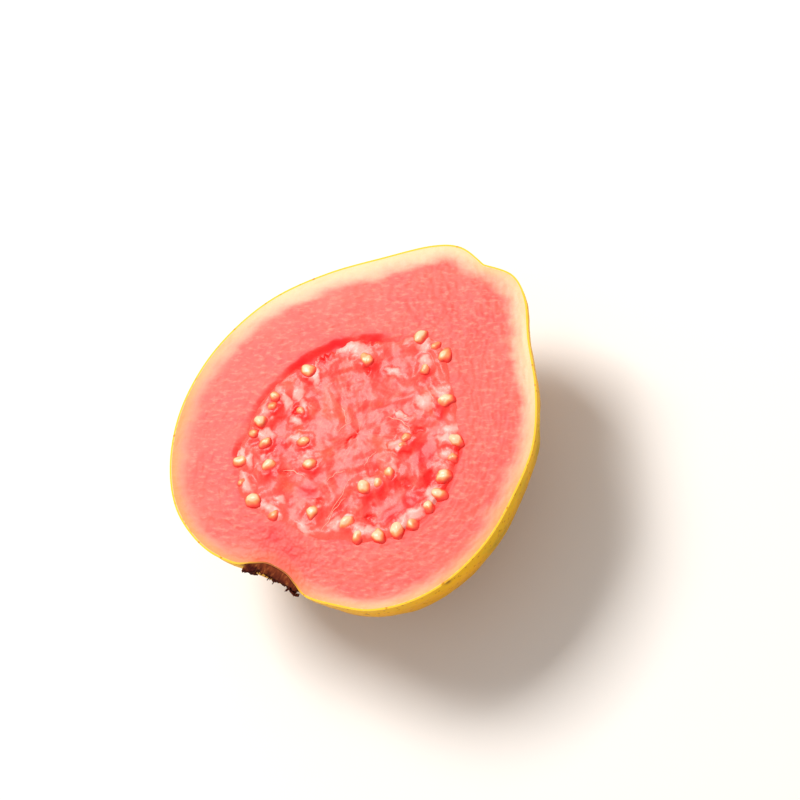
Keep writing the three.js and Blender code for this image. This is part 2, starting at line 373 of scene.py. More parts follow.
def rim_point(share):
    """A point of the flesh's rim: up the right flank, then down the left one."""
    if share < 0.5:
        point = flank_point(RIGHT_FLANK, 2 * share)
    else:
        point = flank_point(LEFT_FLANK, 2 - 2 * share)
    return FLESH_MIDDLE + (point.to_3d() - FLESH_MIDDLE) * FLESH_SHARE


floor_shares = [SLOPE_START * row / FLOOR_ROWS for row in range(FLOOR_ROWS)]
wall_shares = [SLOPE_START + (1 - SLOPE_START) * row / WALL_ROWS for row in range(WALL_ROWS)]
inner_rows = floor_shares + wall_shares
row_count = len(inner_rows) + FACE_ROWS
flesh_bm = bmesh.new()
rim_share = flesh_bm.verts.layers.float.new("rim_share")
juice = flesh_bm.verts.layers.float.new("juice")
tan = flesh_bm.verts.layers.float.new("tan")
warm_band = flesh_bm.verts.layers.float.new("warm_band")
bmesh.ops.create_grid(flesh_bm, x_segments=FACE_COLUMNS, y_segments=row_count, size=0.5)
rims = [rim_point(column / FACE_COLUMNS) for column in range(FACE_COLUMNS + 1)]
for vertex in flesh_bm.verts:
    rim = rims[round((vertex.co.x + 0.5) * FACE_COLUMNS)].to_2d()
    row = round((vertex.co.y + 0.5) * row_count)
    out = rim - PULP_MIDDLE
    direction = math.degrees(math.atan2(out.y, out.x))
    reach = pulp_reach(direction)
    band = float(np.interp(direction, *zip(*PALE_BAND), period=360))
    if row < len(inner_rows):
        distance = reach * inner_rows[row]
    else:
        distance = reach + (out.length - reach) * (row - len(inner_rows)) / FACE_ROWS
    spot = (PULP_MIDDLE + out.normalized() * distance).to_3d()
    vertex[rim_share] = (out.length - distance) / band
    vertex[warm_band] = float(np.interp(direction, *zip(*BAND_WARMTH), period=360))
    near_pit = 1.3 * math.exp(-(((spot - BLOSSOM_PIT).length / TAN_REACH) ** 2))
    vertex[tan] = min(near_pit, 1) * (1 - ease(1.0, TAN_DEPTH, out.length - distance))
    ragged = 1 + 0.5 * noise.noise(spot / 1.8)
    opened = openness(direction)
    blush = max(0.7 * math.exp(-(((spot - middle).length / reached) ** 2)) for middle, reached in BLUSHES)
    soaked = (0.1 + 0.9 * opened) * (1 - ease(-0.6, (0.5 + 1.1 * opened) * ragged, distance - reach))
    vertex[juice] = max(soaked, blush * ragged)
    fade = ease(0, LEVEL_EDGE, out.length - distance)
    grain = noise.noise(spot / 1.1) + 0.7 * noise.noise(spot / 0.55)
    wave = noise.noise(spot / 6)
    frayed = 0.022 * noise.noise(spot / 1.6 + Vector((0, 0, 0.4))) * opened
    rising = WALL_START + (SLOPE_START - WALL_START) * whole(direction)
    low = HOLLOW_DEPTH * (1 - 0.5 * opened) * (1 - ease(rising, 1, distance / reach + frayed))
    vertex.co = spot
    vertex.co.z = fade * (GRAIN_HEIGHT * grain + WAVE_HEIGHT * wave - 0.02) - low
under = bmesh.ops.create_grid(flesh_bm, x_segments=UNDER_COLUMNS, y_segments=FACE_COLUMNS // 2, size=0.5)
for vertex in under["verts"]:
    point = skin_point((vertex.co.x + 0.5) / 2, vertex.co.y + 0.5)
    vertex.co = FLESH_MIDDLE + (point - FLESH_MIDDLE) * FLESH_SHARE
    vertex.co.z = max(vertex.co.z, BELLY + SKIN_THICKNESS)
bmesh.ops.remove_doubles(flesh_bm, verts=flesh_bm.verts, dist=MERGE_DISTANCE)
bmesh.ops.recalc_face_normals(flesh_bm, faces=flesh_bm.faces)

# Fresh guava flesh: mostly water, IOR 1.36, moist after the cut. Its stone cells give a fine grain, which
# the knife has drawn out along its way.
KNIFE_DIRECTION = math.radians(30)
flesh = start_material("moist_guava_flesh")
place = object_place(flesh)
depth = layer(flesh, "rim_share")
along_knife = add(flesh, "ShaderNodeMapping", {
    "vector_type": "TEXTURE", "Rotation": (0, 0, KNIFE_DIRECTION), "Scale": (2.2, 1, 1),
}, {"Vector": place})["Vector"]
drift = blotches(flesh, along_knife, 2.5, 4)
wander = rescale(flesh, drift, 0.3, 0.7, 0.78, 1.28)
gap = add(flesh, "ShaderNodeMath", {"operation": "MULTIPLY"}, {0: depth, 1: wander})["Value"]
share = rescale(flesh, gap, 0, 3)
creamy = ramp(flesh, share, [
    (0.0, "#FFCA92"), (0.07, "#FFCA9A"), (0.14, "#FFC398"), (0.22, "#FFB893"), (0.3, "#FFA988"),
    (0.37, "#FF957B"), (0.44, "#FF7A64"), (0.52, "#FF5D4C"), (1.0, "#FF5547"),
])
peachy = ramp(flesh, share, [
    (0.0, "#FC8A30"), (0.08, "#FD8C42"), (0.18, "#FF8656"), (0.29, "#FF7D61"), (0.38, "#FF7259"),
    (0.48, "#FF6350"), (0.62, "#FF5848"), (1.0, "#FF5547"),
])
warmth = layer(flesh, "warm_band")
ground = add(flesh, "ShaderNodeMixRGB", {}, {"Fac": warmth, "Color1": creamy, "Color2": peachy})["Color"]
rosy = blotches(flesh, along_knife, 4.5, 5, roughness=0.6)
rose = rescale(flesh, rosy, 0.46, 0.68, 0, 0.55)
inland = rescale(flesh, share, 0.36, 0.55)
rose_inland = add(flesh, "ShaderNodeMath", {"operation": "MULTIPLY"}, {0: rose, 1: inland})["Value"]
deeper = tint(flesh, "#FF3E40", rose_inland, ground)
flakes = blotches(flesh, along_knife, 0.75, 3, roughness=0.6)
flake = rescale(flesh, flakes, 0.5, 0.72, 0, 0.75)
flake_inland = add(flesh, "ShaderNodeMath", {"operation": "MULTIPLY"}, {0: flake, 1: inland})["Value"]
flaked = tint(flesh, "#FF8570", flake_inland, deeper)
tans = layer(flesh, "tan")
tanned = tint(flesh, "#F45C36", tans, flaked)
juices = layer(flesh, "juice")
wetted = tint(flesh, "#FA1C23", juices, tanned)
grain = bump(flesh, flakes, 0.5, 0.12)
surface = add(flesh, "ShaderNodeBsdfPrincipled", {
    "Roughness": 0.5, "IOR": 1.36, "Specular IOR Level": 0.4,
    "Subsurface Weight": 0.1, "Subsurface Scale": 1.5 * MM,
    "Subsurface Radius": (1.0, 0.35, 0.2), "Coat Weight": 0.08, "Coat Roughness": 0.3,
}, {"Base Color": wetted, "Normal": grain})
add(flesh, "ShaderNodeOutputMaterial", {}, {"Surface": surface["BSDF"]})
finish_piece("flesh", flesh_bm, flesh, "guava_half")

# The seeds: hard cream grains, wet with pulp, in rough rows round the pulp's middle.
SEED_ROWS = (
    # from and to in degrees round the pulp's middle, how many, and how far out
    (306, 385, 9, 0.92),
    (51, 51, 1, 0.86),
    (74, 92, 3, 0.93),
    (160, 160, 1, 0.85),
    (186, 209, 4, 0.86),
    (224, 256, 4, 0.92),
    (275, 297, 2, 0.78),
    (217, 229, 2, 0.72),
    (78, 119, 2, 0.73),
    (189, 189, 1, 0.58),
    (311, 341, 3, 0.48),
    (377, 386, 2, 0.46),
    (218, 243, 2, 0.41),
)
SEED_LENGTH = 3.1
SEED_WIDTH = 2.4
SEED_THICKNESS = 2.2
SEED_SINK = 0.4
SEED_TURN = 40
SEED_STRAY = 1.5  # how far a seed may lie from its place in its row, in degrees
SHARE_STRAY = 0.025
SIZE_STRAY = 0.18
SEED_TAPER = 0.25
SEED_DRAW = 20
BARE_LEVEL = 0.1  # the height above the cut where a seed begins to turn from red to cream: the jelly on it thins out there, and its top is painted lighter as painted light
BARE_RISE = 0.6


def random_draw(state):
    """Draws from 0 to 1, the same on every run."""
    while True:
        state = (state * 1664525 + 1013904223) % 2**32
        yield state / 2**32


draw = random_draw(SEED_DRAW)


def spread(amount):
    """A draw from minus the amount to the amount."""
    return amount * (2 * next(draw) - 1)


seeds = []
for start, end, count, share in SEED_ROWS:
    for index in range(count):
        step = index / (count - 1) if count > 1 else 0
        direction = start + (end - start) * step + spread(SEED_STRAY)
        out = share + spread(SHARE_STRAY)
        size = 1 + spread(SIZE_STRAY)
        turn = math.radians(direction + spread(SEED_TURN))
        way = Vector((math.cos(math.radians(direction)), math.sin(math.radians(direction))))
        seeds.append((PULP_MIDDLE + way * pulp_reach(direction) * out, size, turn))

seed_bm = bmesh.new()
clean = seed_bm.verts.layers.float.new("clean")
# The side that the light comes from: the seeds are painted lighter on it, as painted light, and the pulp is
# painted deeper red on the other side, as painted shadow.
LIT_SIDE_ANGLE = math.radians(150)
LIT_SIDE_WAY = Vector((math.cos(LIT_SIDE_ANGLE), math.sin(LIT_SIDE_ANGLE)))
for spot, size, turn in seeds:
    grain = bmesh.ops.create_icosphere(seed_bm, subdivisions=4, radius=0.5)["verts"]
    own = Vector((spot.x, spot.y, 0))
    for vertex in grain:
        taper = 1 - SEED_TAPER * vertex.co.x
        vertex.co.y *= taper
        vertex.co.z *= taper
        vertex.co *= 1 + 0.24 * noise.noise(vertex.co * 1.9 + own) + 0.07 * noise.noise(vertex.co * 4.2 + own)
    stretch = Matrix.Diagonal((SEED_LENGTH * size, SEED_WIDTH * size, SEED_THICKNESS * size, 1))
    move = Matrix.Translation((spot.x, spot.y, -SEED_SINK))
    bmesh.ops.transform(seed_bm, matrix=move @ Matrix.Rotation(turn, 4, "Z") @ stretch, verts=grain)
    for vertex in grain:
        # Cream on the top and on the side towards the light, red-orange lower down and on the far side:
        # painted light and shade, over the jelly's red at each seed's foot.
        aside = (vertex.co.xy - spot).dot(LIT_SIDE_WAY) / (SEED_LENGTH * size / 2)
        bare_and_lit_top = (vertex.co.z - BARE_LEVEL) / BARE_RISE
        vertex[clean] = 0.64 * bare_and_lit_top + 0.45 * aside + 0.22 * noise.noise(vertex.co / 0.8 + own)

shell = start_material("guava_seed_coat")
# Painted light and shade: cream on a seed's top and lit side, red-orange low down and on its far side.
lit_and_bare_share = layer(shell, "clean")
ground = ramp(shell, lit_and_bare_share, [
    (0.0, "#FF3E32"), (0.18, "#FF5C3D"), (0.36, "#FF7E4C"), (0.54, "#FFA064"), (0.72, "#FFC79C"),
])
surface = add(shell, "ShaderNodeBsdfPrincipled", {
    "Roughness": 0.4, "IOR": 1.5, "Subsurface Weight": 0.1, "Subsurface Scale": 0.6 * MM,
    "Subsurface Radius": (1.0, 0.6, 0.4), "Coat Weight": 0.2, "Coat Roughness": 0.2,
}, {"Base Color": ground})
add(shell, "ShaderNodeOutputMaterial", {}, {"Surface": surface["BSDF"]})
finish_piece("seeds", seed_bm, shell, "guava_half")

# The pulp: soft, wet and translucent, in lumps that hold the seeds. It has shrunk from the flesh a
# little, more so at the upper left, where the gap shows deep red.
PULP_SINK = 0.35
PULP_DOME = 0.4
PULP_ROOT = 3.0
EDGE_FALL = 1.0
LUMP_HEIGHT = 0.38
GAP_SHARE = 0.015
WIDE_GAPS = ((148, 17, 0.075), (115, 9, 0.05), (205, 14, 0.02), (30, 14, 0.02), (-10, 12, 0.03))
PULP_COLUMNS = 420
PULP_ROWS = 120
LUMP_SHARE = 0.3  # the finer relief below takes the rest
SAC_SPACING = 3.6
SAC_HEIGHT = 0.32
MERGED_FALL = 0.4  # how far its edge dips under the flesh where it hasn't come away
FIBRE_TURNS = 7  # how closely the fibres stand round the middle
FIBRE_LENGTH = 7
OFF_LATTICE = 3.37  # any level where the noise isn't zero along straight lines
TILT = Matrix.Rotation(0.7, 3, "X") @ Matrix.Rotation(0.6, 3, "Y")  # turns the noise off those lines too
PIT_DEPTH = 0.5
COLLAR_HEIGHT = 0.32
LOBE_RISE = 0.26
SEED_SHADOW_REACH = 1.5
# Each seed's own jelly lies beside it, mostly on the side towards the light, where its pale film is also
# painted sheen.
LIT_SIDE_TURN = 160
COVER_SPREAD = 80
COVER_LENGTH = 3.2
COVER_WIDTH = 2.2
COVER_RISE = 0.45
COVER_DRAW = 7
cover_draw = random_draw(COVER_DRAW)
NOISE_DRAW = 5
noise.seed_set(NOISE_DRAW)  # noise_vector starts from the clock unless it is given a start
# Other milky jelly, whose pale film is also painted sheen: direction, share of the way to the edge, turn in
# degrees, length, width.
JELLY_LOBES = (
    (57, 0.66, 150, 3.4, 2.6), (33, 0.90, 30, 6.4, 2.3), (27, 0.88, 28, 6.0, 2.1),
    (177, 0.72, 100, 2.8, 2.2), (198, 0.56, 0, 2.8, 1.5), (160, 0.75, 126, 3.6, 1.6),
    (134, 0.92, 40, 4.8, 2.5), (124, 0.84, 5, 4.6, 2.4), (186, 0.76, 150, 3.0, 1.5),
    (221, 0.91, 126, 3.6, 1.0), (224, 0.84, 120, 3.2, 1.1), (236, 0.89, 140, 3.4, 2.0),
    (246, 0.88, 0, 3.6, 1.8), (255, 0.89, -10, 4.6, 2.0), (252, 0.77, 30, 2.2, 1.2),
    (275, 0.91, 0, 4.2, 1.5), (354, 0.86, 100, 3.2, 2.2), (339, 0.88, 60, 4.2, 2.6),
    (14, 0.40, 120, 2.4, 1.2), (88, 0.89, 120, 4.2, 2.4), (94, 0.60, 10, 3.4, 1.6),
    (56, 0.41, 0, 2.6, 1.0), (297, 0.75, 70, 2.8, 1.2), (209, 0.74, 0, 3.0, 1.4),
)
# Pits where a seed has fallen out or the pulp has torn: direction, share, turn, length, width.
PULP_PITS = (
    (34, 0.56, 30, 2.8, 1.6), (1, 0.80, 60, 4.5, 3.0), (-13, 0.62, 20, 3.0, 2.0),
    (312, 0.74, 30, 1.8, 1.2), (118, 0.66, 120, 2.4, 1.2), (190, 0.62, 60, 2.2, 1.2),
    (238, 0.60, 10, 1.8, 1.0), (350, 0.97, 80, 3.0, 1.6), (328, 0.96, 50, 4.0, 1.4),
    (274, 0.64, 40, 1.8, 1.2), (60, 0.84, 30, 2.6, 1.2), (206, 0.86, 30, 2.0, 1.2),
)
# The split in the pulp's middle: where it starts and ends, and its half width and depth.
SPLIT_START = Vector((-2.7, -8.2))
SPLIT_END = Vector((-2.2, -3.8))
SPLIT_WIDTH = 0.22
SPLIT_DEPTH = 0.45
# Clear red pools of jelly between the seeds: direction, share, turn, length, width.
RED_POOLS = (
    (14, 0.64, 100, 5.8, 4.6), (1, 0.80, 90, 6.5, 4.5), (343, 0.80, 70, 7.5, 4.5),
    (328, 0.80, 50, 6.0, 4.0), (310, 0.84, 40, 5.0, 3.0), (190, 0.62, 30, 4.5, 3.0),
    (218, 0.62, 30, 4.0, 3.0), (150, 0.86, 60, 5.0, 2.5), (47, 0.78, 130, 4.5, 3.0),
    (262, 0.62, 10, 5.0, 3.0),
)


def lump(x, y):
    """The uneven lumps of the pulp's face, from -1 to 1."""
    warp_x = x + 1.6 * math.sin(0.45 * y + 1.0)
    warp_y = y + 1.6 * math.sin(0.4 * x + 2.0)
    crossed = 0.6 * math.sin(1.15 * warp_x) * math.sin(1.05 * warp_y)
    return crossed + 0.4 * math.sin(0.62 * warp_x - 0.8 * warp_y)


def extra_gap(direction):
    """How much wider the gap is in a direction in degrees, as a share of the way to the edge."""
    total = 0
    for toward, width, extra in WIDE_GAPS:
        off = (direction - toward + 180) % 360 - 180
        total += extra * math.exp(-((off / width) ** 2))
    broad = noise.noise(Vector((direction / 6, OFF_LATTICE, 0)))
    close = noise.noise(Vector((direction / 1.7, 0, OFF_LATTICE)))
    return total * (0.9 + 1.1 * broad + 0.7 * close)


def at_share(direction, share):
    """The spot in a direction in degrees, a share of the way from the pulp's middle to its edge."""
    way = Vector((math.cos(math.radians(direction)), math.sin(math.radians(direction))))
    return PULP_MIDDLE + way * pulp_reach(direction) * share


def rings_round(spots, centre, turn, length, width):
    """How far each spot is from the middle of an oval, where 1 is its edge."""
    apart = spots - np.array(centre)
    along = apart[:, 0] * math.cos(turn) + apart[:, 1] * math.sin(turn)
    aside = apart[:, 1] * math.cos(turn) - apart[:, 0] * math.sin(turn)
    return np.hypot(along / (length / 2), aside / (width / 2))


def jelly_on(spots):
    """The rise of the jelly, how milky it is with painted sheen, and how deep red it is at each spot: painted
    shadow beside each seed away from the light, and the clear red pools and the split.
    """
    broad = [noise.noise_vector(Vector((x / 1.3, y / 1.3, OFF_LATTICE))).xy for x, y in spots]
    close = [noise.noise_vector(Vector((x / 0.5, y / 0.5, OFF_LATTICE))).xy for x, y in spots]
    spots = spots + 0.6 * np.array(broad) + 0.2 * np.array(close)
    rise = np.zeros(len(spots))
    milk_and_sheen_at = np.zeros(len(spots))
    shadowed_and_pooled = np.zeros(len(spots))
    for centre, size, turn in seeds:
        # Painted shadow: the jelly is painted deeper red beside each seed, on its side away from the light.
        below = centre - LIT_SIDE_WAY * SEED_LENGTH * size * 0.45
        reach = SEED_SHADOW_REACH * size
        ring = rings_round(spots, below, turn, reach * SEED_LENGTH, reach * SEED_WIDTH)
        shadowed_and_pooled = np.maximum(shadowed_and_pooled, np.exp(-(ring**2) * 1.5))
        ring = rings_round(spots, centre, turn, SEED_LENGTH * size, SEED_WIDTH * size)
        rise = np.maximum(rise, COLLAR_HEIGHT * np.exp(-(((np.maximum(ring, 0.9) - 0.9) / 0.75) ** 2)))
    # Milky jelly beside each seed, mostly on its side towards the light; its pale film is also painted sheen.
    for centre, size, turn in seeds:
        cover = math.radians(LIT_SIDE_TURN + COVER_SPREAD * (2 * next(cover_draw) - 1))
        beside = centre + Vector((math.cos(cover), math.sin(cover))) * SEED_LENGTH * size * 0.55
        ring = rings_round(spots, beside, cover + 0.6, COVER_LENGTH * size, COVER_WIDTH * size)
        amount = next(cover_draw)
        rise = np.maximum(rise, (0.2 + COVER_RISE * amount) * np.exp(-(ring**2)))
        milk_and_sheen_at = np.maximum(milk_and_sheen_at, (0.2 + 0.8 * amount) * np.exp(-((ring / 1.05) ** 2.5)))
    for direction, share, turn, length, width in JELLY_LOBES:
        ring = rings_round(spots, at_share(direction, share), math.radians(turn), length, width)
        rise = np.maximum(rise, LOBE_RISE * np.exp(-(ring**2) * 1.1))
        milk_and_sheen_at = np.maximum(milk_and_sheen_at, np.exp(-((ring / 1.05) ** 2.5)))
    for direction, share, turn, length, width in PULP_PITS:
        ring = rings_round(spots, at_share(direction, share), math.radians(turn), length, width)
        rise -= PIT_DEPTH * np.exp(-(ring**4))
    for direction, share, turn, length, width in RED_POOLS:
        ring = rings_round(spots, at_share(direction, share), math.radians(turn), length, width)
        shadowed_and_pooled = np.maximum(shadowed_and_pooled, np.exp(-(ring**4)))
    way = np.array(SPLIT_END - SPLIT_START)
    apart = spots - np.array(SPLIT_START)
    along = np.clip(apart @ way / (way @ way), 0, 1)
    beside = np.linalg.norm(apart - along[:, None] * way, axis=1)
    split = np.exp(-((beside / SPLIT_WIDTH) ** 2)) * np.sin(math.pi * np.clip(along, 0.02, 0.98)) ** 0.5
    rise -= SPLIT_DEPTH * split
    shadowed_and_pooled = np.maximum(shadowed_and_pooled * (1 - 0.8 * milk_and_sheen_at), split)
    return rise, milk_and_sheen_at, shadowed_and_pooled


def pulp_height(spot, direction, inward):
    """The height of the pulp's face without its jelly; inward is 0 at its edge and 1 in its middle."""
    opened = openness(direction)
    sink = PULP_SINK * max(opened, ease(0.05, 0.35, inward))
    dipped = MERGED_FALL * whole(direction) * (1 - ease(0, 0.12, inward))
    fall = EDGE_FALL * opened * (1 - ease(0, 0.07, inward)) + dipped
    base = -sink - fall + PULP_DOME * ease(0.05, 0.8, inward)
    lumps = LUMP_SHARE * LUMP_HEIGHT * ease(0.05, 0.2, inward) * lump(spot.x, spot.y)
    flat = Vector((spot.x, spot.y, OFF_LATTICE))
    stirred = TILT @ flat + 0.5 * noise.noise_vector(flat / 3.3)
    distances = noise.voronoi(stirred / SAC_SPACING)[0]
    crowd = sum(math.exp(-((distance / 0.45) ** 2)) for distance in distances)
    outer = ease(0.01, 0.12, inward) * (1 - 0.7 * ease(0.45, 0.8, inward))
    sacs = SAC_HEIGHT * (crowd - 0.5) * outer
    tilted = TILT @ flat
    fine = 0.04 * noise.noise(tilted / 0.9) + 0.12 * noise.noise(tilted / 2)
    fine += 0.25 * noise.noise(tilted / 4.6)
    return base + lumps + sacs + fine * ease(0, 0.08, inward)


pulp_bm = bmesh.new()
rise = pulp_bm.verts.layers.float.new("rise")
milk = pulp_bm.verts.layers.float.new("milk")
stain = pulp_bm.verts.layers.float.new("stain")
merged = pulp_bm.verts.layers.float.new("merged")
fibre = pulp_bm.verts.layers.float_vector.new("fibre")
# The rings below the pulp's face, from its middle out: share of the way to the edge, and height.
ROOT_RINGS = ((0, -PULP_ROOT), (0.6, -PULP_ROOT), (0.9, -0.8 * PULP_ROOT))
ROWS_AND_ROOTS = PULP_ROWS + len(ROOT_RINGS)
bmesh.ops.create_grid(pulp_bm, x_segments=PULP_COLUMNS, y_segments=ROWS_AND_ROOTS, size=0.5)
face = []
for vertex in pulp_bm.verts:
    direction = 360 * (vertex.co.x + 0.5)
    row = round((vertex.co.y + 0.5) * ROWS_AND_ROOTS)
    if row < len(ROOT_RINGS):
        share, low = ROOT_RINGS[row]
        spot = at_share(direction, share * (1 - extra_gap(direction)))
        vertex.co = (spot.x, spot.y, low)
    else:
        out = (1 - (row - len(ROOT_RINGS)) / PULP_ROWS) ** 0.8
        gap = GAP_SHARE * openness(direction)
        spot = at_share(direction, out * (1 - gap) * (1 - extra_gap(direction) * out))
        vertex.co = (spot.x, spot.y, pulp_height(spot, direction, 1 - out))
        ragged = 1 + 0.6 * noise.noise(spot.to_3d() / 2.2 + Vector((0, 0, OFF_LATTICE)))
        vertex[merged] = whole(direction) * (1 - ease(0.05, 0.26 * ragged, 1 - out))
        way = Vector((math.cos(math.radians(direction)), math.sin(math.radians(direction))))
        vertex[fibre] = (*(way * FIBRE_TURNS), (spot - PULP_MIDDLE).length / FIBRE_LENGTH)
        face.append((vertex, ease(0, 0.05 + 0.09 * whole(direction), 1 - out)))
on_face = jelly_on(np.array([vertex.co.xy for vertex, hold in face]))
for (vertex, hold), more, milk_and_sheen_amount, shadows_and_pools in zip(face, *on_face):
    vertex.co.z += more * hold
    vertex[rise] = vertex.co.z
    vertex[milk] = milk_and_sheen_amount * hold ** 0.3
    vertex[stain] = shadows_and_pools
bmesh.ops.remove_doubles(pulp_bm, verts=pulp_bm.verts, dist=MERGE_DISTANCE)
bmesh.ops.recalc_face_normals(pulp_bm, faces=pulp_bm.faces)

jelly = start_material("wet_seed_pulp")
place = object_place(jelly)
level = layer(jelly, "rise")
# Painted shade: the pulp is painted deeper red the lower it lies, in its hollows, pits and the gap at its
# edge, and paler on its tops.
share = rescale(jelly, level, -1.4, 0.7)
ground = ramp(jelly, share, [
    (0.0, "#F00C17"), (0.28, "#FC2224"), (0.5, "#FF3A32"), (0.7, "#FF483E"), (1.0, "#FF5649"),
])
clouds = blotches(jelly, place, 3.4, 4)
cloud = rescale(jelly, clouds, 0.44, 0.66, 0, 0.6)
clouded = tint(jelly, "#FF6054", cloud, ground)
threads = blotches(jelly, place, 2.8, 4)
centred = add(jelly, "ShaderNodeMath", {"operation": "SUBTRACT", 1: 0.5}, {0: threads})["Value"]
apart = add(jelly, "ShaderNodeMath", {"operation": "ABSOLUTE"}, {0: centred})["Value"]
strand = rescale(jelly, apart, 0.0, 0.016, 0.4, 0.0)
stranded = tint(jelly, "#FF7C6C", strand, clouded)
fibred = add(jelly, "ShaderNodeAttribute", {"attribute_name": "fibre"})["Vector"]
fibres = add(jelly, "ShaderNodeTexNoise", {
    "Scale": 1.0, "Detail": 5, "Roughness": 0.6,
}, {"Vector": fibred})["Fac"]
fibry = rescale(jelly, fibres, 0.5, 0.68, 0, 0.55)
fibrous = tint(jelly, "#FF7866", fibry, stranded)
flecks = blotches(jelly, place, 1.2, 3)
fleck = rescale(jelly, flecks, 0.54, 0.7, 0, 0.35)
flecked = tint(jelly, "#FF8272", fleck, fibrous)
warmth = blotches(jelly, place, 5.5, 3)
warm = rescale(jelly, warmth, 0.54, 0.68, 0, 0.5)
warmed = tint(jelly, "#FF5C2E", warm, flecked)
# Deeper red: painted shadow beside each seed away from the light, and the clear red pools and the split.
shadows_and_pools = layer(jelly, "stain")
shadow_and_pool_amount = rescale(jelly, shadows_and_pools, 0, 1.0, 0, 0.95)
shadowed_and_pooled_red = tint(jelly, "#FC181A", shadow_and_pool_amount, warmed)
joins = layer(jelly, "merged")
joining = rescale(jelly, joins, 0, 1, 0, 0.85)
joined = tint(jelly, "#FF6051", joining, shadowed_and_pooled_red)
# A pale pink film: milky jelly, and painted sheen of wet highlights.
milk_and_sheen_values = layer(jelly, "milk")
uneven = add(jelly, "ShaderNodeMath", {"operation": "ADD"}, {0: milk_and_sheen_values, 1: flecks})["Value"]
milk_and_sheen_film = rescale(jelly, uneven, 0.7, 1.3, 0, 0.88)
milk_and_sheen_filmed = tint(jelly, "#FFB2A6", milk_and_sheen_film, joined)
rippled = bump(jelly, flecks, 0.5, 0.25)
surface = add(jelly, "ShaderNodeBsdfPrincipled", {
    "Roughness": 0.42, "IOR": 1.36, "Specular IOR Level": 0.3,
    "Subsurface Weight": 0.15, "Subsurface Scale": 1.5 * MM,
    "Subsurface Radius": (1.0, 0.3, 0.22), "Coat Weight": 0.16, "Coat Roughness": 0.2,
}, {"Base Color": milk_and_sheen_filmed, "Normal": rippled})
add(jelly, "ShaderNodeOutputMaterial", {}, {"Surface": surface["BSDF"]})
finish_piece("pulp", pulp_bm, jelly, "guava_half")

# The threads: pale strings of pulp, drawn out by the knife, that lie loose on the pulp's face.
THREADS = (
    # where it starts and ends, how far it bends aside, its half width
    ((3.4, -24.2), (3.2, -16.1), 0.5, 0.08), ((2.3, -22.0), (1.9, -12.8), -0.4, 0.07),
    ((3.0, -9.4), (3.3, -5.6), 0.3, 0.07), ((-10.5, 8.9), (-7.6, 8.2), 0.3, 0.16),
    ((0.9, 0.7), (6.6, 1.1), 0.9, 0.09), ((-10.6, -18.0), (-5.9, -17.1), 0.6, 0.1),
    ((-5.4, -6.4), (-4.3, -3.2), 0.3, 0.08), ((0.1, -11.8), (-1.6, -15.6), -0.5, 0.08),
    ((3.1, 3.3), (5.4, 3.0), -0.3, 0.1), ((-8.4, -1.6), (-4.8, -4.4), 0.5, 0.08),
)
THREAD_COLUMNS = 40
THREAD_SIDES = 6
THREAD_WAVES = 0.35


def thread_spot(start, end, bend, along):
    """A spot of a thread's winding way over the pulp."""
    start = Vector(start)
    way = Vector(end) - start
    aside = Vector((-way.y, way.x)).normalized()
    wave = THREAD_WAVES * noise.noise(Vector((5 * along, start.x, start.y + OFF_LATTICE)))
    return start + way * along + aside * (bend * math.sin(math.pi * along) + wave)


threads_bm = bmesh.new()
for start, end, bend, width in THREADS:
    spots = [thread_spot(start, end, bend, step / THREAD_COLUMNS) for step in range(THREAD_COLUMNS + 1)]
    rises = jelly_on(np.array(spots))[0]
    tube = bmesh.ops.create_grid(
        threads_bm, x_segments=THREAD_COLUMNS, y_segments=THREAD_SIDES, size=0.5
    )["verts"]
    for vertex in tube:
        step = round((vertex.co.x + 0.5) * THREAD_COLUMNS)
        turn = math.tau * (vertex.co.y + 0.5)
        spot = spots[step]
        nearby = spots[min(step + 1, THREAD_COLUMNS)] - spots[max(step - 1, 0)]
        aside = Vector((-nearby.y, nearby.x)).normalized()
        out = spot - PULP_MIDDLE
        direction = math.degrees(math.atan2(out.y, out.x))
        level = pulp_height(spot, direction, 1 - out.length / pulp_reach(direction)) + rises[step]
        thin = width * math.sin(math.pi * step / THREAD_COLUMNS) ** 0.4
        spot = spot + aside * thin * math.cos(turn)
        vertex.co = (spot.x, spot.y, level + thin * (0.5 + math.sin(turn)))
bmesh.ops.remove_doubles(threads_bm, verts=threads_bm.verts, dist=MERGE_DISTANCE)
bmesh.ops.recalc_face_normals(threads_bm, faces=threads_bm.faces)

# Wet plant fibre: paler than the pulp it comes from, since there is air in it. IOR 1.4.
string = start_material("wet_pulp_thread")
surface = add(string, "ShaderNodeBsdfPrincipled", {
    "Base Color": linear("#FFA48C"), "Roughness": 0.45, "IOR": 1.4,
})
add(string, "ShaderNodeOutputMaterial", {}, {"Surface": surface["BSDF"]})
finish_piece("threads", threads_bm, string, "guava_half")

# The calyx: what is left of the flower in the blossom pit. A dried, fibrous crust fills the pit. The knife
# has gone through it too. Stubs of its lobes and of the stamens stand on it.
CALYX_REACH = 0.155
CALYX_CLEARANCE = 0.3
CALYX_THICKNESS = 1.6
CALYX_EDGE = 0.5
LOBE_HEIGHT = 0.9
LOBE_COUNT = 5
CALYX_COLUMNS = 200
CALYX_ROWS = 80
LOBE_STARTS = (12, 50, 92, 131, 166)
LOBE_LENGTH = 3.2
LOBE_WIDTH = 3.4
LOBE_THICKNESS = 0.25
LOBE_SEGMENTS = 14
STAMEN_COUNT = 26
STAMEN_LENGTH = 1.0
STAMEN_WIDTH = 0.22
STAMEN_ROOT = 0.4
STAMEN_TOP = -0.6  # they stand no nearer to the cut than this


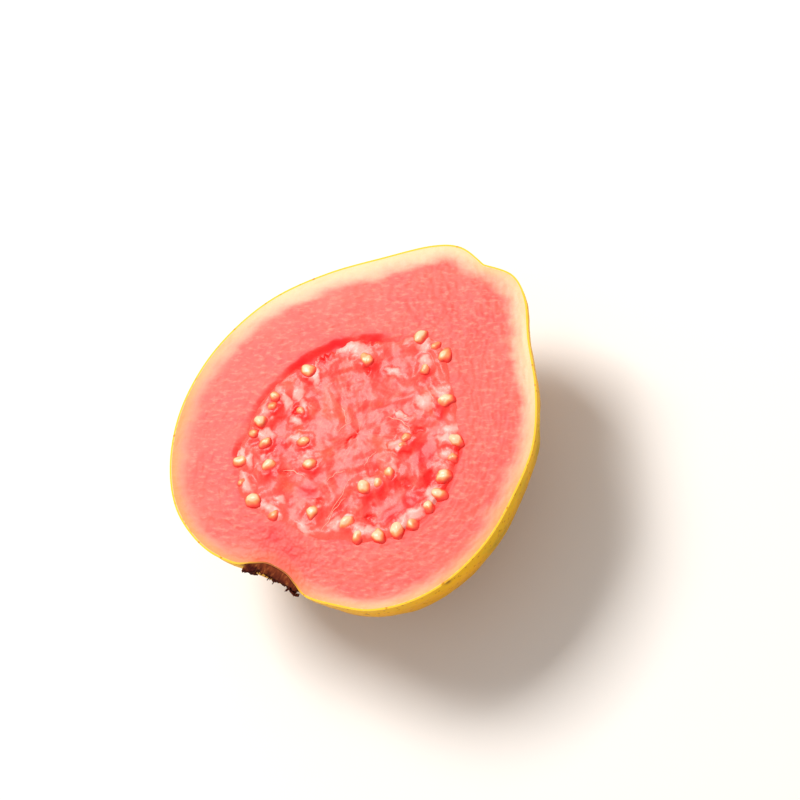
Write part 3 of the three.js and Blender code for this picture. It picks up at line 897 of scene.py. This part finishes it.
def crust_point(around, share):
    """A point of the crust's outer side, from the pit's middle at share 0 to its rim at 1."""
    point = skin_point(around, share * CALYX_REACH)
    lobe = LOBE_HEIGHT * max(0, math.cos(LOBE_COUNT * (around * math.tau - 0.5))) * ease(0.45, 0.85, share)
    floor = CALYX_THICKNESS + (CALYX_EDGE - CALYX_THICKNESS) * ease(0.2, 1, share)
    drawn_out = Vector((point.x / 0.3, point.y, point.z / 0.3))
    rough = 0.35 * noise.noise(point / 0.9) + 0.25 * noise.noise(drawn_out)
    point.y -= CALYX_CLEARANCE + floor + lobe + rough * ease(0, 0.1, share)
    return point


calyx_bm = bmesh.new()
bmesh.ops.create_grid(calyx_bm, x_segments=CALYX_COLUMNS, y_segments=CALYX_ROWS, size=0.5)
for vertex in calyx_bm.verts:
    around = (vertex.co.x + 0.5) / 2
    row = vertex.co.y + 0.5
    if row < 0.5:
        vertex.co = crust_point(around, 2 * row)
    else:
        vertex.co = skin_point(around, 2 * (1 - row) * CALYX_REACH)
        vertex.co.y -= CALYX_CLEARANCE / 3
bmesh.ops.remove_doubles(calyx_bm, verts=calyx_bm.verts, dist=MERGE_DISTANCE)
bmesh.ops.holes_fill(calyx_bm, edges=[edge for edge in calyx_bm.edges if edge.is_boundary], sides=0)
bmesh.ops.recalc_face_normals(calyx_bm, faces=calyx_bm.faces)
for index in range(STAMEN_COUNT):
    around = 0.03 + 0.44 * next(draw)
    start = crust_point(around, 0.15 + 0.6 * next(draw))
    lean = Vector((spread(0.6), -1, spread(0.3) - 0.3)).normalized()
    length = STAMEN_LENGTH * (1 + spread(0.5))
    stub = bmesh.ops.create_cone(
        calyx_bm, cap_ends=True, segments=6, radius1=STAMEN_WIDTH, radius2=STAMEN_WIDTH / 3, depth=length
    )["verts"]
    start.z = min(start.z, STAMEN_TOP)
    leant = lean.to_track_quat("Z", "Y").to_matrix().to_4x4()
    stand = Matrix.Translation(start + lean * (length / 2 - STAMEN_ROOT)) @ leant
    bmesh.ops.transform(calyx_bm, matrix=stand, verts=stub)

lobes_bm = bmesh.new()
for start in LOBE_STARTS:
    around = start / 360
    foot = crust_point(around, 0.72)
    out = Vector((math.cos(math.radians(start)), 0, -math.sin(math.radians(start))))
    flap = bmesh.ops.create_grid(
        lobes_bm, x_segments=LOBE_SEGMENTS, y_segments=LOBE_SEGMENTS, size=0.5
    )["verts"]
    length = LOBE_LENGTH * (1 + spread(0.2))
    aside = out.cross(Vector((0, 1, 0)))
    for vertex in flap:
        across = vertex.co.x
        along = vertex.co.y + 0.5
        wide = LOBE_WIDTH * (1.05 - along**2.2) * (1 + 0.3 * noise.noise(Vector((3 * along, start, 0))))
        curl = 0.55 * math.sin(2.6 * along) + 0.5 * across * across
        crinkle = 0.25 * noise.noise(Vector((4 * across, 4 * along, start)))
        lift = Vector((0, curl + crinkle + 0.1, 0))
        vertex.co = foot + aside * across * wide + out * (0.75 * length * along) - lift
bmesh.ops.remove_doubles(lobes_bm, verts=lobes_bm.verts, dist=MERGE_DISTANCE)
bmesh.ops.recalc_face_normals(lobes_bm, faces=lobes_bm.faces)
bmesh.ops.solidify(lobes_bm, geom=lobes_bm.faces[:], thickness=LOBE_THICKNESS)
for vertex in lobes_bm.verts:
    vertex.co.z = min(vertex.co.z, -0.05)

# Dry plant fibre: dull, IOR 1.45, dark brown with lighter and redder fibres. Fibres run out from the fruit.
husk = start_material("dried_calyx")
place = object_place(husk)
fibred = add(husk, "ShaderNodeMapping", {
    "vector_type": "TEXTURE", "Scale": (1, 2.5, 1),
}, {"Vector": place})["Vector"]
mottle = blotches(husk, fibred, 0.55, 5, roughness=0.65)
ground = ramp(husk, mottle, [
    (0.32, "#180403"), (0.44, "#3E1007"), (0.56, "#6A2B13"), (0.7, "#9E602F"),
])
rust = blotches(husk, place, 2.4, 2)
rusty = rescale(husk, rust, 0.46, 0.66, 0, 0.7)
mixed = tint(husk, "#3E0907", rusty, ground)
across = add(husk, "ShaderNodeSeparateXYZ", {}, {"Vector": place})["Y"]
pit_y = (BLOSSOM_PIT + TO_PART).y
inland = rescale(husk, across, (pit_y - 1.4) * MM, (pit_y + 1.2) * MM, 0, 0.4)
rusted = tint(husk, "#B4522A", inland, mixed)
dents = bump(husk, mottle, 0.8, 0.3)
surface = add(husk, "ShaderNodeBsdfPrincipled", {
    "Roughness": 0.85, "IOR": 1.45, "Specular IOR Level": 0.12,
}, {"Base Color": rusted, "Normal": dents})
add(husk, "ShaderNodeOutputMaterial", {}, {"Surface": surface["BSDF"]})
finish_piece("calyx_crust", calyx_bm, husk, "calyx")
finish_piece("calyx_lobes", lobes_bm, husk, "calyx")

# The floor and the light: a plain white table under one large soft light, with a pale sky round it.
# Lengths are in m here.
FLOOR_HALF = 3.0
KEY_AWAY = 0.9
KEY_SIDE = 0.36
KEY_POWER = 8.6
KEY_TOWARD = Vector((-0.52, 0.10, 0.85)).normalized()
KEY_AIM = Vector((0, 0, 0.03))
SKY_STRENGTH = 0.5
floor_bm = bmesh.new()
bmesh.ops.create_grid(floor_bm, x_segments=1, y_segments=1, size=FLOOR_HALF)
floor_mesh = bpy.data.meshes.new("floor")
floor_bm.to_mesh(floor_mesh)
floor_bm.free()
paint = start_material("white_table")
surface = add(paint, "ShaderNodeBsdfPrincipled", {"Base Color": linear("#F4EDE6"), "Roughness": 0.8})
add(paint, "ShaderNodeOutputMaterial", {}, {"Surface": surface["BSDF"]})
floor_mesh.materials.append(paint)
floor_piece = bpy.data.objects.new("floor", floor_mesh)
bpy.context.scene.collection.objects.link(floor_piece)

key = bpy.data.objects.new("key_light", bpy.data.lights.new("key_light", "AREA"))
key.data.size = KEY_SIDE
key.data.energy = KEY_POWER
key.location = KEY_AIM + KEY_TOWARD * KEY_AWAY
key.rotation_euler = KEY_TOWARD.to_track_quat("Z", "Y").to_euler()
bpy.context.scene.collection.objects.link(key)
sky = bpy.data.worlds.new("sky")
sky.use_nodes = True
sky.node_tree.nodes["Background"].inputs["Color"].default_value = (1, 1, 1, 1)
sky.node_tree.nodes["Background"].inputs["Strength"].default_value = SKY_STRENGTH
bpy.context.scene.world = sky
